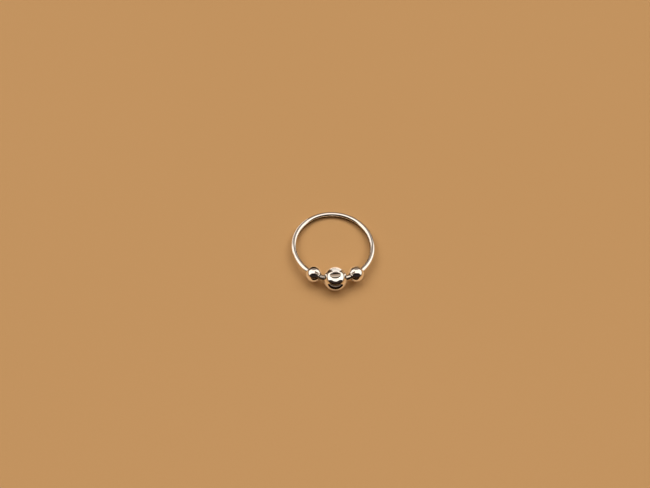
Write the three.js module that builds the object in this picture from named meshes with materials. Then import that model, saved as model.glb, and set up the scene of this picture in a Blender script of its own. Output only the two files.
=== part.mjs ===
// A beaded nose hoop of round silver wire, lying on its side as it does by itself.
// Units are millimetres, +Z is up and the surface that it lies on is z = 0.
// The wire is a circle that opens inside the large ball at the front (-Y).
// A small bead is threaded on each side of that ball. The ball and the back of
// the wire touch the surface, so the plane of the circle rises to the front.
// The origin is the middle of the bounding box's bottom.

import * as THREE from "three";

// Driving dimensions
const WIRE_DIAMETER = 0.7;
const HOOP_INNER_DIAMETER = 9.5;
const END_GAP = 0.3;

const BALL_DIAMETER = 3.0;
const BALL_BORE = 0.98;

const BEAD_DIAMETER = 2.0;
const BEAD_BORE = 0.86;
const BEAD_ANGLE = THREE.MathUtils.degToRad(32);

const RIM_ROUNDING = 0.05;

// Facets
const WIRE_SIDES = 16;
const WIRE_STEPS = 96;
const BALL_SEGMENTS = 40;
const BALL_ARC_STEPS = 20;
const BEAD_SEGMENTS = 32;
const BEAD_ARC_STEPS = 16;
const RIM_STEPS = 3;

// Sizes that follow from them
const wireRadius = WIRE_DIAMETER / 2;
const hoopRadius = (HOOP_INNER_DIAMETER + WIRE_DIAMETER) / 2;
const ballOffset = threadedOffset(BALL_DIAMETER, BALL_BORE);
const beadOffset = threadedOffset(BEAD_DIAMETER, BEAD_BORE);
const ballReach = hoopRadius - ballOffset;
const tilt = Math.asin((BALL_DIAMETER / 2 - wireRadius) / (ballReach + hoopRadius));
const centreHeight = wireRadius + hoopRadius * Math.sin(tilt);
const backEdge = hoopRadius * Math.cos(tilt) + wireRadius;
const frontEdge = ballReach * Math.cos(tilt) + BALL_DIAMETER / 2;

// A straight bore on a curved wire: the wire's middle leaves the bore's chord by
// this much, so the bead sits half of it inside the wire's circle.
function threadedOffset(diameter, bore) {
  const halfLength = Math.sqrt((diameter / 2) ** 2 - (bore / 2) ** 2);
  return (hoopRadius - Math.sqrt(hoopRadius ** 2 - halfLength ** 2)) / 2;
}

// An arc of the wire's circle. The angle is measured from the ball at the front.
class HoopArc extends THREE.Curve {
  constructor(start, end) {
    super();
    this.start = start;
    this.end = end;
  }

  getPoint(t, target = new THREE.Vector3()) {
    const angle = THREE.MathUtils.lerp(this.start, this.end, t);
    return target.set(hoopRadius * Math.sin(angle), -hoopRadius * Math.cos(angle), 0);
  }
}

// The wire: a round section swept along the circle, open for END_GAP at the front.
// The section's full circle takes two facets for each of its curve segments.
function makeHoopGeometry() {
  const halfGap = END_GAP / 2 / hoopRadius;
  const section = new THREE.Shape();
  section.absarc(0, 0, wireRadius, 0, 2 * Math.PI, false);
  return new THREE.ExtrudeGeometry(section, {
    steps: WIRE_STEPS,
    curveSegments: WIRE_SIDES / 2,
    extrudePath: new HoopArc(halfGap, 2 * Math.PI - halfGap),
  });
}

// Points of an arc from one angle to another, both ends included.
function arcPoints(centreX, centreY, radius, fromAngle, toAngle, steps) {
  return Array.from({ length: steps + 1 }, (_, i) => {
    const angle = THREE.MathUtils.lerp(fromAngle, toAngle, i / steps);
    return new THREE.Vector2(centreX + radius * Math.cos(angle), centreY + radius * Math.sin(angle));
  });
}

// A drilled ball with its bore along X and both rims of the bore rounded over.
// The profile is turned about its own Y axis and closes on itself.
function makeBallGeometry(diameter, bore, segments, arcSteps) {
  const radius = diameter / 2;
  const rimX = bore / 2 + RIM_ROUNDING;
  const rimAngle = Math.acos(rimX / (radius - RIM_ROUNDING));
  const rimY = (radius - RIM_ROUNDING) * Math.sin(rimAngle);
  const profile = [
    ...arcPoints(rimX, -rimY, RIM_ROUNDING, -Math.PI, -rimAngle, RIM_STEPS),
    ...arcPoints(0, 0, radius, -rimAngle, rimAngle, arcSteps).slice(1, -1),
    ...arcPoints(rimX, rimY, RIM_ROUNDING, rimAngle, Math.PI, RIM_STEPS),
  ];
  profile.push(profile[0].clone());
  return new THREE.LatheGeometry(profile, segments).rotateZ(Math.PI / 2);
}

function makeMesh(name, geometry, colour) {
  const material = new THREE.MeshStandardMaterial({ color: colour, metalness: 1, roughness: 0.12 });
  const mesh = new THREE.Mesh(geometry, material);
  mesh.name = name;
  return mesh;
}

// A threaded ball, turned so that its bore follows the wire at that angle. The
// turn about the bore puts one of its facets' corners straight down.
function makeThreadedBall(name, geometry, angle, offset, colour) {
  const mesh = makeMesh(name, geometry, colour);
  const reach = hoopRadius - offset;
  mesh.position.set(reach * Math.sin(angle), -reach * Math.cos(angle), 0);
  mesh.rotation.set(tilt, 0, angle, "ZYX");
  return mesh;
}

const ballGeometry = makeBallGeometry(BALL_DIAMETER, BALL_BORE, BALL_SEGMENTS, BALL_ARC_STEPS);
const beadGeometry = makeBallGeometry(BEAD_DIAMETER, BEAD_BORE, BEAD_SEGMENTS, BEAD_ARC_STEPS);

const ring = new THREE.Group();
ring.add(makeMesh("hoop", makeHoopGeometry(), 0xe4e0da));
ring.add(makeThreadedBall("centre_ball", ballGeometry, 0, ballOffset, 0xeae6e0));
ring.add(makeThreadedBall("bead_left", beadGeometry, -BEAD_ANGLE, beadOffset, 0xe8e4de));
ring.add(makeThreadedBall("bead_right", beadGeometry.clone(), BEAD_ANGLE, beadOffset, 0xe8e4de));
ring.rotation.x = -tilt;
ring.position.set(0, (frontEdge - backEdge) / 2, centreHeight);

const noseRing = new THREE.Group();
noseRing.add(ring);

export default noseRing;
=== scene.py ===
import math

import bpy
from mathutils import Matrix, Vector


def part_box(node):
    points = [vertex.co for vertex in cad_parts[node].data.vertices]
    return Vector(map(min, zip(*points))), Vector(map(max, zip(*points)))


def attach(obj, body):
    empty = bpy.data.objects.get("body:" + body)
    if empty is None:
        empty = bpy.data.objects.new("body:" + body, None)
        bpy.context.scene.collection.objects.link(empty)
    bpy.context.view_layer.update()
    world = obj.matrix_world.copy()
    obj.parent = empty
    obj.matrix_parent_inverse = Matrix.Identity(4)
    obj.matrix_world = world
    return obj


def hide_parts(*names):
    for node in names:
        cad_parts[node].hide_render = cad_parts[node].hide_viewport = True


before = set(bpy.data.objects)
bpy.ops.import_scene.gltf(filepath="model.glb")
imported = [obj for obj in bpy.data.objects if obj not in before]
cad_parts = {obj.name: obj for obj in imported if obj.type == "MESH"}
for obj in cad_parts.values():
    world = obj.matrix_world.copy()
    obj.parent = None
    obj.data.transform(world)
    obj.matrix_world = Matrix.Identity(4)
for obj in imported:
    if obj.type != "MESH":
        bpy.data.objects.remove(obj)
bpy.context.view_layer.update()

# Sizes in metres. What the frame holds is read from it.
MM = 0.001
WIRE_RADIUS = 0.35 * MM
BALL_BORE_RADIUS = 0.49 * MM
BEAD_BORE_RADIUS = 0.43 * MM
WIRE_END_GAP = 0.3 * MM
WIRE_END_ROUNDING = 0.1 * MM
RIM_ROUNDING = 0.07 * MM

# How far a finished piece stays inside its CAD node's box
SKIN = 0.0005 * MM

# How finely the pieces are cut, and how close two places are taken to be the same
WIRE_SIDES = 40
WIRE_STEPS = 360
BALL_SEGMENTS = 128
BALL_RINGS = 96
BORE_CUTS = 6
WIRE_END_SEGMENTS = 4
RIM_SEGMENTS = 5
SMOOTH_ANGLE = math.radians(50)
SAME_PLACE = 0.0001 * MM
SAME_ANGLE = 0.0001
NEAR_CUT = 0.001 * MM

FLOOR_RADIUS = 600 * MM

# The camera's place round the ring, in degrees and metres
CAMERA_AZIMUTH = -8.8
CAMERA_ELEVATION = 61.5
CAMERA_ROLL = 7.6
CAMERA_DISTANCE = 105 * MM
CAMERA_LENS = 44.4
AIM_FROM_HOOP_CENTRE = Vector((-0.99, 0.80, 0)) * MM


# ---------------------------------------------------------------- the ring's own frame

def box_middle(node):
    low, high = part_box(node)
    return (low + high) / 2


def box_size(node):
    low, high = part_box(node)
    return high - low


ball_centre = box_middle("centre_ball")
ball_radius = box_size("centre_ball").z / 2 - SKIN
bead_radius = box_size("bead_left").z / 2 - SKIN
hoop_radius = box_size("hoop").x / 2 - WIRE_RADIUS - SKIN
hoop_tilt = math.atan2(ball_centre.z - WIRE_RADIUS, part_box("hoop")[1].y - WIRE_RADIUS - ball_centre.y)
hoop_centre = Vector((
    0,
    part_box("hoop")[1].y - WIRE_RADIUS - hoop_radius * math.cos(hoop_tilt),
    WIRE_RADIUS + hoop_radius * math.sin(hoop_tilt),
))
ring_frame = Matrix.Translation(hoop_centre) @ Matrix.Rotation(-hoop_tilt, 4, "X")


def threaded_frame(node):
    """The frame of a threaded ball: at its centre, with X along its bore."""
    place = ring_frame.inverted() @ box_middle(node)
    angle = math.atan2(place.x, -place.y)
    return ring_frame @ Matrix.Translation(place) @ Matrix.Rotation(angle, 4, "Z")


# ---------------------------------------------------------------- modelling

def deselect_all():
    bpy.ops.object.select_all(action="DESELECT")


def edit(obj):
    deselect_all()
    obj.select_set(True)
    bpy.context.view_layer.objects.active = obj
    bpy.ops.object.mode_set(mode="EDIT")


def leave_edit():
    bpy.ops.object.mode_set(mode="OBJECT")


def merge_doubles():
    bpy.ops.mesh.select_all(action="SELECT")
    bpy.ops.mesh.remove_doubles(threshold=SAME_PLACE)


def recalculate_normals():
    """Turns the faces outwards. This comes before a bevel, which keeps them so: after one, the
    recalculation turns shells as small as these inside out."""
    merge_doubles()
    bpy.ops.mesh.normals_make_consistent(inside=False)


def place_in_mesh(obj, place):
    """Puts a piece modelled about the origin at its place, with the object left unturned."""
    obj.matrix_world = place
    deselect_all()
    obj.select_set(True)
    bpy.context.view_layer.objects.active = obj
    bpy.ops.object.transform_apply(location=True, rotation=True, scale=True)
    bpy.ops.object.shade_smooth_by_angle(angle=SMOOTH_ANGLE)


def select_edges(obj, wanted):
    """Selects the edges whose two ends both satisfy wanted(), in edit mode."""
    bpy.ops.mesh.select_all(action="DESELECT")
    leave_edit()
    points = obj.data.vertices
    for edge in obj.data.edges:
        edge.select = all(wanted(points[i].co) for i in edge.vertices)
    bpy.ops.object.mode_set(mode="EDIT")
    bpy.ops.mesh.select_mode(type="EDGE")


def make_hoop():
    """The wire: a filled round section spun about the hoop's axis, with rounded ends."""
    half_gap = WIRE_END_GAP / 2 / hoop_radius
    start = Vector((math.sin(half_gap), -math.cos(half_gap), 0)) * hoop_radius
    deselect_all()
    bpy.ops.mesh.primitive_circle_add(
        vertices=WIRE_SIDES, radius=WIRE_RADIUS, fill_type="NGON", location=start,
        rotation=(math.pi / 2, 0, math.pi / 2 + half_gap))
    hoop = bpy.context.object
    hoop.name = "silver_hoop"
    deselect_all()
    hoop.select_set(True)
    bpy.ops.object.transform_apply(location=True, rotation=True, scale=True)
    edit(hoop)
    bpy.ops.mesh.select_mode(type="FACE")
    bpy.ops.mesh.select_all(action="SELECT")
    bpy.ops.mesh.spin(
        steps=WIRE_STEPS, angle=2 * (math.pi - half_gap), center=(0, 0, 0), axis=(0, 0, 1))
    recalculate_normals()

    def on_end_rim(point):
        turn = abs(math.atan2(point.x, -point.y))
        from_wire_middle = math.hypot(math.hypot(point.x, point.y) - hoop_radius, point.z)
        return abs(turn - half_gap) < SAME_ANGLE and abs(from_wire_middle - WIRE_RADIUS) < SAME_PLACE

    select_edges(hoop, on_end_rim)
    bpy.ops.mesh.bevel(offset=WIRE_END_ROUNDING, segments=WIRE_END_SEGMENTS, affect="EDGES")
    merge_doubles()
    leave_edit()
    place_in_mesh(hoop, ring_frame)
    return hoop


def make_ball(name, node, radius, bore_radius):
    """A drilled ball: a sphere cut off square at both ends, bored through and rounded at the rims."""
    half_length = math.sqrt(radius ** 2 - bore_radius ** 2)
    deselect_all()
    bpy.ops.mesh.primitive_uv_sphere_add(
        segments=BALL_SEGMENTS, ring_count=BALL_RINGS, radius=radius, rotation=(0, math.pi / 2, 0))
    ball = bpy.context.object
    ball.name = name
    bpy.ops.object.transform_apply(location=True, rotation=True, scale=True)
    edit(ball)
    for side in (1, -1):
        bpy.ops.mesh.select_all(action="SELECT")
        bpy.ops.mesh.bisect(
            plane_co=(side * half_length, 0, 0), plane_no=(side, 0, 0), clear_outer=True,
            threshold=SAME_PLACE)

    def on_cut(point):
        return abs(point.x) > half_length - NEAR_CUT

    select_edges(ball, on_cut)
    bpy.ops.mesh.bridge_edge_loops(number_cuts=BORE_CUTS, interpolation="LINEAR")
    recalculate_normals()
    select_edges(ball, on_cut)
    bpy.ops.mesh.bevel(offset=RIM_ROUNDING, segments=RIM_SEGMENTS, affect="EDGES")
    merge_doubles()
    leave_edit()
    place_in_mesh(ball, threaded_frame(node))
    return ball


# ---------------------------------------------------------------- shader maths

class Value:
    """A socket that Python arithmetic works on: each operation adds a Math node."""

    def __init__(self, nodes, socket):
        self.nodes = nodes
        self.socket = socket

    def maths(self, operation, *others):
        return self.nodes.maths(operation, self, *others)

    def __add__(self, other):
        return self.maths("ADD", other)

    def __sub__(self, other):
        return self.maths("SUBTRACT", other)

    def __rsub__(self, other):
        return self.nodes.maths("SUBTRACT", other, self)

    def __mul__(self, other):
        return self.maths("MULTIPLY", other)

    def __truediv__(self, other):
        return self.maths("DIVIDE", other)

    def __pow__(self, other):
        return self.maths("POWER", other)

    def __neg__(self):
        return self.maths("MULTIPLY", -1)

    __radd__ = __add__
    __rmul__ = __mul__


class Nodes:
    """The nodes of one material or world."""

    def __init__(self, owner):
        owner.use_nodes = True
        self.tree = owner.node_tree
        self.tree.nodes.clear()

    def node(self, kind, settings=None, stops=None, **sockets):
        """Adds a node, sets its settings and its ramp's stops, then links or sets its sockets."""
        made = self.tree.nodes.new(kind)
        for name, value in (settings or {}).items():
            setattr(made, name, value)
        if stops:
            elements = made.color_ramp.elements
            while len(elements) > 1:
                elements.remove(elements[-1])
            for index, (position, colour) in enumerate(stops):
                element = elements[0] if index == 0 else elements.new(position)
                element.position = position
                element.color = (*colour, 1)
        for name, value in sockets.items():
            self.give(made, name, value)
        return made

    def give(self, made, name, value):
        """Links or sets a socket, named by its number after an underscore or by its words."""
        key = int(name[1:]) if name.startswith("_") else name.replace("_", " ")
        socket = made.inputs[key]
        if isinstance(value, Value):
            self.tree.links.new(value.socket, socket)
        elif isinstance(value, tuple) and len(value) == 3 and socket.type == "RGBA":
            socket.default_value = (*value, 1)
        else:
            socket.default_value = value

    def out(self, made, output=0):
        return Value(self, made.outputs[output])

    def maths(self, operation, *values):
        sockets = {f"_{i}": value for i, value in enumerate(values)}
        return self.out(self.node("ShaderNodeMath", {"operation": operation}, **sockets))

    def ramp(self, value, low, high):
        """A smooth step from 0 to 1 as value goes from low to high, which may be the smaller."""
        made = self.node(
            "ShaderNodeMapRange", {"interpolation_type": "SMOOTHSTEP"}, Value=value, From_Min=low,
            From_Max=high, To_Min=0.0, To_Max=1.0)
        return self.out(made)

    def mix(self, factor, first, second):
        """Mixes two colours."""
        made = self.node("ShaderNodeMix", {"data_type": "RGBA"}, _0=factor, _6=first, _7=second)
        return self.out(made, 2)

    def noise(self, vector, scale, detail=2.0):
        made = self.node(
            "ShaderNodeTexNoise", Vector=vector, Scale=scale, Detail=detail, Roughness=0.5)
        return self.out(made)

    def separate(self, vector):
        made = self.node("ShaderNodeSeparateXYZ", Vector=vector)
        return [self.out(made, i) for i in range(3)]

    def combine(self, x, y, z):
        return self.out(self.node("ShaderNodeCombineXYZ", X=x, Y=y, Z=z))

    def turned(self, vector, rotation, scale):
        made = self.node("ShaderNodeMapping", Vector=vector, Rotation=rotation, Scale=scale)
        return self.out(made)

    def local(self, place):
        """Object coordinates turned into the millimetres of a piece's own frame."""
        coordinates = self.out(self.node("ShaderNodeTexCoord"), "Object")
        location, rotation, _ = place.decompose()
        made = self.node(
            "ShaderNodeMapping", {"vector_type": "TEXTURE"}, Vector=coordinates,
            Location=tuple(location), Rotation=tuple(rotation.to_euler()), Scale=(MM, MM, MM))
        return self.out(made)


# ---------------------------------------------------------------- materials

SILVER = (0.93, 0.905, 0.87)
WARM_SILVER = (0.90, 0.86, 0.80)
TARNISH = (0.22, 0.17, 0.12)


def hairlines(nodes, vector, turns, thin, long):
    """Fine scratches in several directions: 1 on a scratch and 0 beside it."""
    lines = []
    for turn in turns:
        streaks = nodes.noise(nodes.turned(vector, turn, (long, thin, thin)), 1.0, 1.0)
        lines.append(nodes.ramp(streaks, 0.66, 0.74))
    found = lines[0]
    for line in lines[1:]:
        found = nodes.maths("MAXIMUM", found, line)
    return found


def silver(nodes, colour, roughness, height):
    """Polished silver whose relief is given as a height in millimetres."""
    bump = nodes.node("ShaderNodeBump", Strength=1.0, Distance=MM, Height=height)
    shader = nodes.node(
        "ShaderNodeBsdfPrincipled", Base_Color=colour, Metallic=1.0, Roughness=roughness,
        Normal=nodes.out(bump))
    nodes.node("ShaderNodeOutputMaterial", Surface=nodes.out(shader))


def polished_ball(name, place, bore_radius):
    """A tumbled silver ball: mirror bright, faintly wavy, with hairlines and a dark worn bore."""
    material = bpy.data.materials.new(name)
    nodes = Nodes(material)
    point = nodes.local(place)
    _, y, z = nodes.separate(point)
    from_bore = nodes.maths("SQRT", y * y + z * z)
    bore = bore_radius / MM
    inside = nodes.ramp(from_bore, bore + 0.01, bore - 0.02)
    rim = nodes.ramp(from_bore, bore + 0.22, bore + 0.02) * (1 - inside)
    clouds = nodes.noise(point, 1.3, 3.0)
    directions = ((0, 0, 0.4), (0.9, 0.3, 1.9), (1.7, 1.1, 2.8))
    scratches = hairlines(nodes, point, directions, 26.0, 1.1)
    patchy = nodes.ramp(nodes.noise(point, 0.9, 1.0), 0.42, 0.62)
    scratches = scratches * patchy
    colour = nodes.mix(nodes.ramp(clouds, 0.35, 0.7), SILVER, WARM_SILVER)
    colour = nodes.mix(rim * 0.25 + inside * 0.85, colour, TARNISH)
    roughness = 0.018 + 0.022 * clouds + 0.11 * scratches + 0.08 * rim + 0.3 * inside
    waves = nodes.noise(point, 1.6, 1.0)
    height = 0.004 * waves - 0.0008 * scratches + 0.001 * inside * nodes.noise(point, 9.0)
    silver(nodes, colour, roughness, height)
    return material


def drawn_wire(name):
    """Polished drawn wire: hairlines along its length, slight waves and dull places by the balls."""
    material = bpy.data.materials.new(name)
    nodes = Nodes(material)
    x, y, z = nodes.separate(nodes.local(ring_frame))
    from_axis = nodes.maths("SQRT", x * x + y * y)
    angle = nodes.maths("ARCTAN2", x, -y)
    along = angle * (hoop_radius / MM)
    across = from_axis - hoop_radius / MM
    on_wire = nodes.combine(along, across, z)
    stretched = nodes.turned(on_wire, (0, 0, 0), (0.35, 38.0, 38.0))
    draw_lines = nodes.ramp(nodes.noise(stretched, 1.0, 2.0), 0.5, 0.72)
    clouds = nodes.noise(on_wire, 1.1, 3.0)
    nicks = hairlines(nodes, on_wire, ((0.3, 0.2, 1.2), (0.8, 1.3, 0.3)), 22.0, 1.5)
    nicks = nicks * nodes.ramp(nodes.noise(on_wire, 0.7, 1.0), 0.5, 0.64)
    by_balls = nodes.ramp(nodes.maths("ABSOLUTE", angle), 0.9, 0.35)
    colour = nodes.mix(nodes.ramp(clouds, 0.35, 0.7), SILVER, WARM_SILVER)
    colour = nodes.mix(by_balls * 0.18, colour, TARNISH)
    roughness = 0.022 + 0.025 * clouds + 0.06 * draw_lines + 0.12 * nicks
    height = 0.0024 * nodes.noise(on_wire, 1.9, 1.0) - 0.0006 * draw_lines - 0.0009 * nicks
    silver(nodes, colour, roughness, height)
    return material


def floor_card(name):
    """Smooth tan card with a faint mottle."""
    material = bpy.data.materials.new(name)
    nodes = Nodes(material)
    point = nodes.out(nodes.node("ShaderNodeTexCoord"), "Object")
    mottle = nodes.noise(point, 14.0, 1.0)
    grain = nodes.noise(point, 5000.0, 2.0)
    colour = nodes.mix(mottle * 0.5 + grain * 0.5, (0.525, 0.294, 0.118), (0.565, 0.320, 0.137))
    bump = nodes.node("ShaderNodeBump", Strength=0.15, Distance=0.02 * MM, Height=grain)
    shader = nodes.node(
        "ShaderNodeBsdfPrincipled", Base_Color=colour, Roughness=0.8, Specular_IOR_Level=0.0,
        Normal=nodes.out(bump))
    nodes.node("ShaderNodeOutputMaterial", Surface=nodes.out(shader))
    return material


# ---------------------------------------------------------------- the studio

def make_floor():
    deselect_all()
    bpy.ops.mesh.primitive_circle_add(vertices=128, radius=FLOOR_RADIUS, fill_type="NGON")
    floor = bpy.context.object
    floor.name = "floor"
    floor.data.materials.append(floor_card("tan_card"))


def light_tent():
    """The world: a white tent over the ring, open and dark low at the front, dimmer low at the back.
    A direction's height runs from 0 at the front horizon over 90 at the top to 180 at the back."""
    world = bpy.data.worlds.new("light_tent")
    bpy.context.scene.world = world
    nodes = Nodes(world)
    side, back, up = nodes.separate(nodes.out(nodes.node("ShaderNodeTexCoord"), "Generated"))
    beside = nodes.maths("ABSOLUTE", side)
    degrees = 180 / math.pi
    height = nodes.maths("ARCTAN2", up, -back) * degrees
    elevation = nodes.maths("ARCSINE", up) * degrees
    from_front = nodes.maths("ARCTAN2", beside, -back) * degrees

    white = (1.32, 1.19, 1.06)
    low_back = nodes.node(
        "ShaderNodeValToRGB", stops=(
            (0.685, white),
            (0.725, (0.70, 0.60, 0.52)),
            (0.79, (0.40, 0.31, 0.245)),
            (0.88, (0.15, 0.105, 0.07)),
            (1.0, (0.08, 0.052, 0.03)),
        ), Fac=(height - 48 * beside * beside) / 180)
    above_edge = elevation - 16 * nodes.ramp(from_front, 122, 142)
    tent = nodes.mix(nodes.ramp(above_edge, 13, 5), nodes.out(low_back), (0.09, 0.06, 0.04))
    seam = nodes.ramp(nodes.maths("ABSOLUTE", height - 130), 10, 4) * nodes.ramp(beside, 0.46, 0.30)
    tent = nodes.mix(seam * 0.75, tent, (0.06, 0.045, 0.035))
    opening = nodes.node(
        "ShaderNodeValToRGB", stops=(
            (0.0, (0.010, 0.003, 0.001)),
            (0.08, (0.010, 0.004, 0.002)),
            (0.12, (0.045, 0.027, 0.021)),
            (0.20, (0.030, 0.024, 0.022)),
            (0.33, (0.010, 0.006, 0.005)),
        ), Fac=height / 180)
    in_opening = nodes.ramp(height, 78, 71) * nodes.ramp(from_front, 76, 64)
    tent = nodes.mix(in_opening, tent, nodes.out(opening))

    # Only glossy rays see the tent, so it shows only in reflections and lights no diffuse surface;
    # diffuse rays get a plain warm ambient and the camera a tan backdrop
    for_glossy = nodes.node("ShaderNodeBackground", Color=tent, Strength=1.0)
    ambient = nodes.node("ShaderNodeBackground", Color=(0.11, 0.065, 0.02), Strength=1.0)
    backdrop = nodes.node("ShaderNodeBackground", Color=(0.62, 0.40, 0.21), Strength=1.0)
    light_path = nodes.node("ShaderNodeLightPath")
    unseen = nodes.node(
        "ShaderNodeMixShader", _0=nodes.out(light_path, "Is Glossy Ray"), _1=nodes.out(ambient),
        _2=nodes.out(for_glossy))
    mixed = nodes.node(
        "ShaderNodeMixShader", _0=nodes.out(light_path, "Is Camera Ray"), _1=nodes.out(unseen),
        _2=nodes.out(backdrop))
    nodes.node("ShaderNodeOutputWorld", Surface=nodes.out(mixed))


def soft_lamp(name, lean, side, energy, breadth):
    """A broad soft lamp that leans from straight above the ring to the back and then round to a
    side, in degrees. It stays out of the reflections."""
    bpy.ops.object.light_add(type="SUN")
    lamp = bpy.context.object
    lamp.name = name
    lamp.data.energy = energy
    lamp.data.angle = math.radians(breadth)
    lamp.visible_glossy = False
    lamp.matrix_world = (
        Matrix.Rotation(math.radians(side), 4, "Z") @ Matrix.Rotation(math.radians(-lean), 4, "X"))


def reflector(name, place, size, shader):
    """A small card that only shows in reflections, where it paints a dark or bright shape: a painted
    reflection. Its size is in millimetres.
    """
    deselect_all()
    bpy.ops.mesh.primitive_plane_add(size=1)
    card = bpy.context.object
    card.name = name
    card.matrix_world = place @ Matrix.Diagonal((size[0] * MM, size[1] * MM, 1, 1))
    card.visible_camera = False
    card.visible_diffuse = False
    card.visible_shadow = False
    card.data.materials.append(shader)
    return card


def glow(name, colour, shape=None, clear=False):
    """A card's even glow, which paints a reflection on the cards that only reflections see. A shape
    function gives where the card is solid, from the card's own coordinates, and a clear card adds
    its light to what lies behind it."""
    material = bpy.data.materials.new(name)
    nodes = Nodes(material)
    shader = nodes.out(nodes.node("ShaderNodeEmission"))
    behind = nodes.out(nodes.node("ShaderNodeBsdfTransparent"))
    x, y, _ = nodes.separate(nodes.out(nodes.node("ShaderNodeTexCoord"), "Object"))
    nodes.give(shader.socket.node, "Color", colour(nodes, x, y) if callable(colour) else colour)
    if clear:
        shader = nodes.out(nodes.node("ShaderNodeAddShader", _0=shader, _1=behind))
    if shape:
        solid = shape(nodes, x, y)
        shader = nodes.out(nodes.node("ShaderNodeMixShader", _0=solid, _1=behind, _2=shader))
    nodes.node("ShaderNodeOutputMaterial", Surface=shader)
    return material


# The eye card paints a reflection: a bowed tan oval with black edges, flat above the centre ball and
# seen only in reflections, gives the metal its eye-shaped arcs
def window_depth(nodes, x, y):
    """Where a place lies across a bowed oval: -1 on its front edge, 0 in the middle and 1 on its
    back edge. The card is ten millimetres wide."""
    bowed = y * 10 - 0.16 * (x * 10) ** 2 + 0.175
    to_side = nodes.maths("ABSOLUTE", x * 4.65)
    half_depth = nodes.maths("SQRT", nodes.maths("MAXIMUM", 1 - to_side ** 4, 0.0001))
    return bowed / (0.925 * half_depth)


def window_shape(nodes, x, y):
    return nodes.ramp(nodes.maths("ABSOLUTE", window_depth(nodes, x, y)), 1.0, 0.96)


def window_colour(nodes, x, y):
    """Painted reflection colours: tan, with a thin black back edge and a dim front one."""
    colours = nodes.node(
        "ShaderNodeValToRGB", stops=(
            (0.0, (0.03, 0.02, 0.01)),
            (0.20, (0.03, 0.02, 0.01)),
            (0.27, (0.75, 0.64, 0.52)),
            (0.45, (0.48, 0.37, 0.29)),
            (0.69, (0.32, 0.22, 0.16)),
            (0.73, (0.004, 0.001, 0.0)),
            (1.0, (0.004, 0.001, 0.0)),
        ), Fac=window_depth(nodes, x, y) * 0.5 + 0.5)
    return nodes.out(colours)


def crescent_shape(nodes, x, y):
    """The painted dark reflection's outline: along the inside of the hoop's back, on a card ten
    millimetres wide.
    """
    radius = nodes.maths("SQRT", x * x + y * y) * 10
    turn = nodes.maths("ARCTAN2", x, y) * (180 / math.pi)
    return (
        nodes.ramp(radius, 3.2, 3.6) * nodes.ramp(radius, 4.75, 4.65)
        * nodes.ramp(turn, -75, -50) * nodes.ramp(turn, 115, 95))


def fan_shape(nodes, x, y):
    """The painted dark reflection's outline on the floor: wider to the front."""
    half_width = 0.0425 + (0.5 - y) * 0.8
    return nodes.ramp(nodes.maths("ABSOLUTE", x) - half_width, 0.004, -0.004)


def smile_shape(nodes, x, y):
    """The painted highlight's outline: the upper part of a card, with a lower edge that hangs down
    in the middle.
    """
    raised = nodes.maths("MINIMUM", 8 * x * x, 0.28)
    return nodes.ramp(y + 0.5 - raised, 0.0, 0.03)


def round_shape(nodes, x, y):
    return nodes.ramp(nodes.maths("SQRT", x * x + y * y), 0.5, 0.3)


def show_only_in(cards, pieces):
    """Keeps cards out of every reflection but those in these pieces."""
    shown_in = bpy.data.collections.new(f"shown_with_{cards[0].name}")
    for piece in pieces:
        shown_in.objects.link(piece)
    for card in cards:
        card.light_linking.receiver_collection = shown_in


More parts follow.
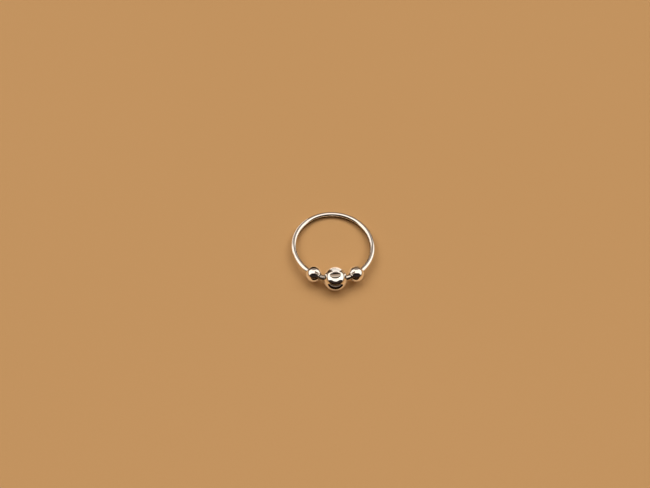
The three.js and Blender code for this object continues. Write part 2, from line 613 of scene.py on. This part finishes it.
def make_reflectors(hoop, balls):
    """Painted reflections: black cards and glowing cards that only the metal's reflections see,
    painting its dark and bright shapes. The low left card shows only in the hoop, the front, back
    and strip cards only in the centre ball, and the painted floor sheen only in the three balls."""
    at_ball = Matrix.Translation(ball_centre)
    on_floor = Matrix.Translation((ball_centre.x, ball_centre.y, 0))
    in_hoop = Matrix.Translation((hoop_centre.x, hoop_centre.y, 0))
    to_camera = at_ball @ bpy.context.scene.camera.matrix_world.to_3x3().to_4x4()
    upright = Matrix.Rotation(math.pi / 2, 4, "X")
    # The colour of the painted dark reflections: black cards that only the metal sees
    black = (0.008, 0.003, 0.001)

    def moved(start, x, y, z):
        return start @ Matrix.Translation(Vector((x, y, z)) * MM)

    # Painted dark reflection: a black fan-shaped card on the floor in front of the ring, seen only in
    # reflections, paints the dark zone in the lower part of the metal
    reflector(
        "floor_dark_reflection", moved(on_floor, 0, -32.15, 0.02), (80, 60),
        glow("fan", black, fan_shape))
    # Painted dark reflection: a black crescent on the floor inside the hoop's back, seen only in
    # reflections, paints dark inner edges on the wire
    reflector(
        "hoop_dark_reflection", moved(in_hoop, 0, 0, 0.03), (10, 10),
        glow("crescent", black, crescent_shape))
    # Painted dark reflection: a small upright black card behind the left bead, seen only in
    # reflections, paints a dark spot into the metal
    reflector(
        "bead_dark_reflection", moved(at_ball, -2.7, 2.68, 0.8) @ upright, (1.5, 0.9),
        glow("black", black))
    # Painted reflection: a small dim grey glowing bar standing behind the ball, seen only in
    # reflections, paints a grey line into the metal
    reflector(
        "bar_dim_reflection", moved(at_ball, -0.4, 1.9, 1.08) @ upright, (1.2, 0.2),
        glow("bar", (0.25, 0.2, 0.17)))
    reflector(
        "window_card", moved(at_ball, -0.25, 0, 2.4), (10, 10),
        glow("window", window_colour, window_shape))
    # Painted highlight: a glowing smile-shaped card between the ball and the camera, seen only in the
    # centre ball's reflection
    front = reflector(
        "front_highlight_card", moved(to_camera, 0.25, -0.18, 3.4), (10.3, 2.0),
        glow("front_painted_highlight", (1.3, 1.19, 1.08), smile_shape, clear=True))
    # Painted highlight: a glowing upright card behind the ball, seen only in the centre ball's
    # reflection
    back = reflector(
        "back_highlight_card", moved(at_ball, 0.25, 2.3, 1.9) @ upright, (3.0, 3.0),
        glow("back_painted_highlight", (0.75, 0.72, 0.68), clear=True))
    # Painted reflection: a dim glowing strip on the floor in front of the ring, seen only in the centre
    # ball, paints a lighter line into its dark lower part
    strip = reflector(
        "strip_highlight_card", moved(on_floor, 0, -8.6, 0.04), (22, 5),
        glow("strip_painted_highlight", (0.21, 0.16, 0.13), clear=True))
    # Painted reflection: a round tan glow on the floor under the ring, seen only in the three balls,
    # paints their floor reflections and rims brighter than the floor
    sheen = reflector(
        "painted_floor_sheen", moved(in_hoop, 0, 0, 0.01), (30, 30),
        glow("painted_sheen_glow", (0.17, 0.12, 0.075), round_shape, clear=True))
    # Painted highlight: a glowing card low at the left, seen only in the hoop's reflection, paints a
    # bright band on the wire
    facing_hoop = Matrix.Rotation(math.radians(63), 4, "Z") @ upright
    low_left = reflector(
        "low_left_highlight_card", moved(in_hoop, -7, 5, 1.05) @ facing_hoop, (11, 1.5),
        glow("low_left_painted_highlight", (1.2, 1.07, 0.95)))
    show_only_in((low_left,), [hoop])
    show_only_in((front, back, strip), balls[:1])
    show_only_in((sheen,), balls)


def make_camera():
    azimuth = math.radians(CAMERA_AZIMUTH)
    elevation = math.radians(CAMERA_ELEVATION)
    away = Vector((
        math.sin(azimuth) * math.cos(elevation),
        -math.cos(azimuth) * math.cos(elevation),
        math.sin(elevation),
    ))
    aim = Vector((hoop_centre.x, hoop_centre.y, 0)) + AIM_FROM_HOOP_CENTRE
    bpy.ops.object.camera_add()
    camera = bpy.context.object
    camera.name = "camera"
    camera.data.sensor_width = 36
    camera.data.lens = CAMERA_LENS
    camera.data.clip_start = MM
    camera.data.clip_end = 2.0
    camera.matrix_world = (
        Matrix.Translation(aim + away * CAMERA_DISTANCE)
        @ (-away).to_track_quat("-Z", "Y").to_matrix().to_4x4()
        @ Matrix.Rotation(math.radians(CAMERA_ROLL), 4, "Z"))
    bpy.context.scene.camera = camera


def add_piece(piece, node, material):
    piece.data.materials.clear()
    piece.data.materials.append(material)
    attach(piece, "root")
    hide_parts(node)


# ---------------------------------------------------------------- the scene

make_camera()
hoop = make_hoop()
add_piece(hoop, "hoop", drawn_wire("polished_drawn_wire"))
balls = []
for piece_name, node, radius, bore_radius in (
    ("silver_centre_ball", "centre_ball", ball_radius, BALL_BORE_RADIUS),
    ("silver_bead_left", "bead_left", bead_radius, BEAD_BORE_RADIUS),
    ("silver_bead_right", "bead_right", bead_radius, BEAD_BORE_RADIUS),
):
    finish = polished_ball(f"polished_{node}", threaded_frame(node), bore_radius)
    balls.append(make_ball(piece_name, node, radius, bore_radius))
    add_piece(balls[-1], node, finish)
make_floor()
light_tent()
soft_lamp("back_lamp", 28, 0, 0.78, 34)
soft_lamp("back_left_lamp", 38, 66, 0.74, 36)
soft_lamp("back_right_lamp", 38, -66, 0.74, 36)
soft_lamp("top_lamp", 6, 0, 0.93, 90)
make_reflectors(hoop, balls)
bpy.context.scene.view_settings.view_transform = "Standard"
